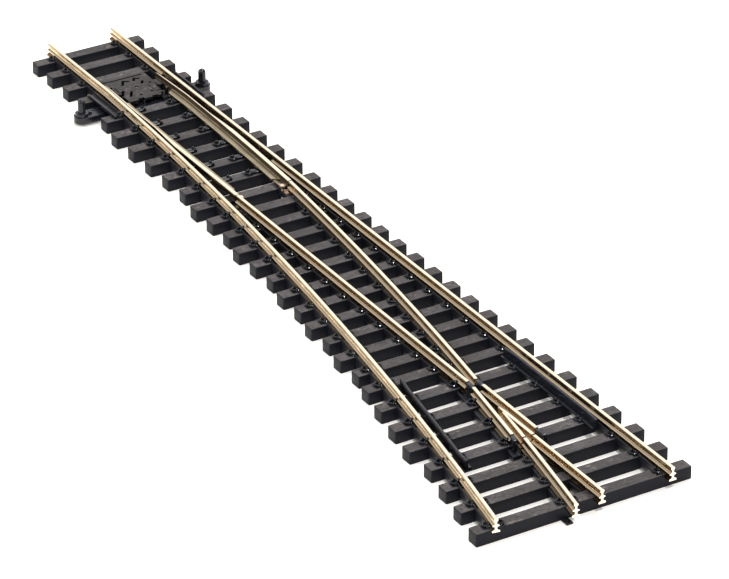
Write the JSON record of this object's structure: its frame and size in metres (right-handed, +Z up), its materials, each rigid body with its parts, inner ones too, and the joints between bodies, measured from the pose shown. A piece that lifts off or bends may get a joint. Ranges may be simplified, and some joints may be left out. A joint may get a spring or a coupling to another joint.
{
  "type": "model turnout switch",
  "caption": "Right-hand model railway turnout for nine millimetre gauge: slotted sleeper base, double-foot rails, hinged switch blades, sliding tie bar, isolated crossing and check rails.",
  "frame": {"origin": "on the straight track's centreline, at the underside of the fifteenth sleeper from the toe", "axes": "+X along the straight track from toe to heel, +Y to the left of that, away from the diverging track, +Z up"},
  "size_m": [0.1381, 0.0306, 0.0036],
  "materials": {
    "rail_metal": "polished nickel silver, darker in the web",
    "blade_metal": "satin nickel silver sheet",
    "contact_metal": "bright strip and turned pins",
    "spring_wire": "drawn spring wire",
    "base_plastic": "moulded, fine wood grain on the sleeper tops",
    "tie_bar_plastic": "moulded, slightly smoother than the base",
    "crossing_plastic": "semi-gloss moulding"
  },
  "bodies": {
    "base": {"sleeper_base": "base_plastic", "straight_stock_rail": "rail_metal", "curved_stock_rail": "rail_metal", "straight_closure_rail": "rail_metal", "curved_closure_rail": "rail_metal", "left_wing_rail": "rail_metal", "right_wing_rail": "rail_metal", "crossing_nose": "rail_metal", "straight_heel_rail": "rail_metal", "curved_heel_rail": "rail_metal", "closure_insulator_left": "crossing_plastic", "closure_insulator_right": "crossing_plastic", "wing_block_left": "crossing_plastic", "wing_block_right": "crossing_plastic", "check_rail_left": "crossing_plastic", "check_rail_right": "crossing_plastic", "rail_bridge_left": "base_plastic", "rail_bridge_right": "base_plastic", "spring_cover": "base_plastic", "heel_pivot_pins": "contact_metal", "heel_contact_left": "contact_metal", "heel_contact_right": "contact_metal"},
    "tie_bar": {"tie_bar": "tie_bar_plastic"},
    "straight_blade": {"straight_switch_blade": "blade_metal"},
    "curved_blade": {"curved_switch_blade": "blade_metal"},
    "spring": {"over_centre_spring": "spring_wire"}
  },
  "joints": [
    {"name": "tie_bar_slide", "type": "slide", "parent": "base", "child": "tie_bar", "axis": [0, 1, 0], "range_m": [0, 0.00088]},
    {"name": "straight_blade_pivot", "type": "hinge", "parent": "base", "child": "straight_blade", "pos_m": [-0.01566, -0.00405, 0.0021], "axis": [0, 0, -1], "range_deg": [0, 1.52]},
    {"name": "curved_blade_pivot", "type": "hinge", "parent": "base", "child": "curved_blade", "pos_m": [-0.01566, 0.00218, 0.0021], "axis": [0, 0, -1], "range_deg": [0, 1.52]},
    {"name": "spring_pivot", "type": "hinge", "parent": "base", "child": "spring", "pos_m": [-0.05206, 0.0003, 0.0011], "axis": [0, 0, 1], "range_deg": [0, 17]}
  ],
  "couplings": [
    {"joint": "straight_blade_pivot", "follows": "tie_bar_slide", "rad_per_m": 29.944},
    {"joint": "curved_blade_pivot", "follows": "tie_bar_slide", "rad_per_m": 29.944},
    {"joint": "spring_pivot", "follows": "tie_bar_slide", "rad_per_m": 334.54}
  ]
}
